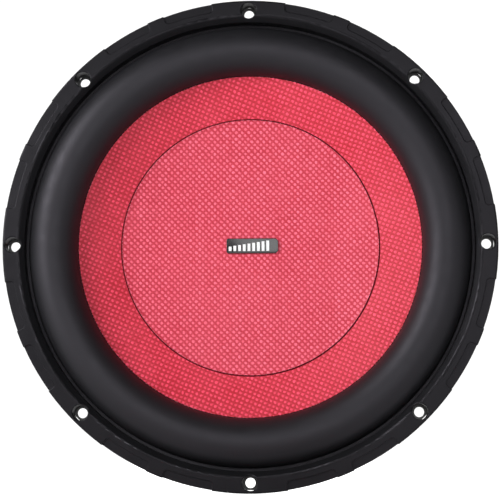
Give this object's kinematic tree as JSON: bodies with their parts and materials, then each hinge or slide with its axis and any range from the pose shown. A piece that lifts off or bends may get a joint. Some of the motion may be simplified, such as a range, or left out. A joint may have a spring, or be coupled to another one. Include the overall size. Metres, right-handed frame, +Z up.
{
  "type": "car subwoofer speaker",
  "caption": "Round car subwoofer driver with a woven red cone and cap, rubber surround, steel basket, double magnet and push terminals.",
  "frame": {"origin": "centre of the mounting screw circle, in the plane of the flange's back face that meets the baffle", "axes": "the cone faces -Y, +Y runs back through the magnet, +Z is up and +X is to the right of someone facing the cone"},
  "size_m": [0.315, 0.1469, 0.315],
  "materials": {
    "ring_rubber": "moulded, fine matt texture",
    "black_steel": "black powder coat",
    "surround_rubber": "matt",
    "pulp": "pressed paper pulp",
    "red_weave_cone": "woven glass fibre under clear resin",
    "red_weave_cap": "woven glass fibre under clear resin",
    "badge_black": "gloss",
    "badge_silver": "bright foil",
    "former_aluminium": "brushed",
    "copper_wire": "enamelled",
    "glue": "glossy set adhesive",
    "spider_cloth": "resin-set cloth",
    "plated_steel": "zinc plated, machined",
    "ferrite": "ground ceramic",
    "wire_mesh": "woven wire",
    "boot_rubber": "moulded",
    "zinc_screw": "zinc plated",
    "terminal_plastic": "moulded",
    "phenolic_board": "phenolic board",
    "contact_brass": "stamped",
    "tinsel_braid": "tinned braid",
    "black_button_plastic": "moulded",
    "red_button_plastic": "moulded",
    "spring_steel": "drawn wire"
  },
  "bodies": {
    "frame": {"trim_ring": "ring_rubber", "basket": "black_steel", "surround": "surround_rubber", "spider": "spider_cloth", "top_plate": "plated_steel", "front_magnet": "ferrite", "rear_magnet": "ferrite", "yoke": "plated_steel", "vent_screen": "wire_mesh", "magnet_boot": "boot_rubber", "plate_screws": "zinc_screw", "terminal_screws": "zinc_screw", "right_terminal_body": "terminal_plastic", "right_terminal_board": "phenolic_board", "right_terminal_contacts": "contact_brass", "right_tinsel_leads": "tinsel_braid", "right_black_spring": "spring_steel", "right_red_spring": "spring_steel", "left_terminal_body": "terminal_plastic", "left_terminal_board": "phenolic_board", "left_terminal_contacts": "contact_brass", "left_tinsel_leads": "tinsel_braid", "left_black_spring": "spring_steel", "left_red_spring": "spring_steel"},
    "cone": {"cone_body": "pulp", "cone_skin": "red_weave_cone", "dust_cap": "red_weave_cap", "badge_plate": "badge_black", "badge_bars": "badge_silver", "coil_former": "former_aluminium", "inner_winding": "copper_wire", "outer_winding": "copper_wire", "coil_leadouts": "copper_wire", "neck_glue_bead": "glue", "spider_glue_bead": "glue"},
    "right_black_button": {"right_black_button": "black_button_plastic"},
    "right_red_button": {"right_red_button": "red_button_plastic"},
    "left_black_button": {"left_black_button": "black_button_plastic"},
    "left_red_button": {"left_red_button": "red_button_plastic"}
  },
  "joints": [
    {"name": "cone_stroke", "type": "slide", "parent": "frame", "child": "cone", "axis": [0, -1, 0], "range_m": [-0.014, 0.014], "stiffness_N_per_m": 4500, "deforming": ["surround", "spider", "right_tinsel_leads", "left_tinsel_leads"]},
    {"name": "right_black_button_press", "type": "slide", "parent": "frame", "child": "right_black_button", "axis": [-0.5284, -0.849, 0], "range_m": [0, 0.004], "stiffness_N_per_m": 700, "deforming": ["right_black_spring"]},
    {"name": "right_red_button_press", "type": "slide", "parent": "frame", "child": "right_red_button", "axis": [-0.5284, -0.849, 0], "range_m": [0, 0.004], "stiffness_N_per_m": 700, "deforming": ["right_red_spring"]},
    {"name": "left_black_button_press", "type": "slide", "parent": "frame", "child": "left_black_button", "axis": [0.5284, -0.849, 0], "range_m": [0, 0.004], "stiffness_N_per_m": 700, "deforming": ["left_black_spring"]},
    {"name": "left_red_button_press", "type": "slide", "parent": "frame", "child": "left_red_button", "axis": [0.5284, -0.849, 0], "range_m": [0, 0.004], "stiffness_N_per_m": 700, "deforming": ["left_red_spring"]}
  ]
}
